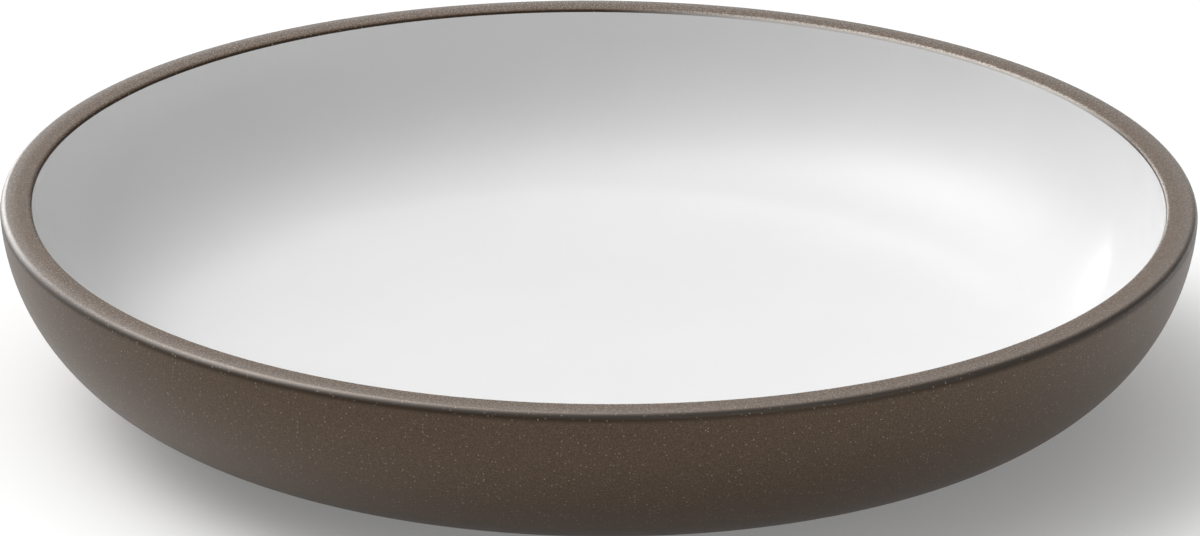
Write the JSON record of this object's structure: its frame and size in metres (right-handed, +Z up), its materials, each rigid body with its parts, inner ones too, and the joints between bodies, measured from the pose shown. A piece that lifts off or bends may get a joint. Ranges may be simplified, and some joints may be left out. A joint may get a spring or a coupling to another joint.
{
  "type": "deep plate",
  "caption": "Round deep plate: flat-topped thick rim, curved wall, shallow bowl-shaped well and low foot ring, white gloss glaze inside, speckled satin brown glaze outside.",
  "frame": {"origin": "centre of the foot ring, on the table that the plate stands on", "axes": "+Z up along the axis the plate is turned about; the plate is round, so X and Y only need to be square to it"},
  "size_m": [0.24, 0.24, 0.041],
  "materials": {
    "stoneware": "matte",
    "white_glaze": "gloss",
    "brown_glaze": "satin",
    "underside_glaze": "satin"
  },
  "bodies": {
    "root": {"stoneware_body": "stoneware", "white_glaze_lining": "white_glaze", "brown_glaze_coat": "brown_glaze", "underside_glaze": "underside_glaze"}
  },
  "joints": []
}
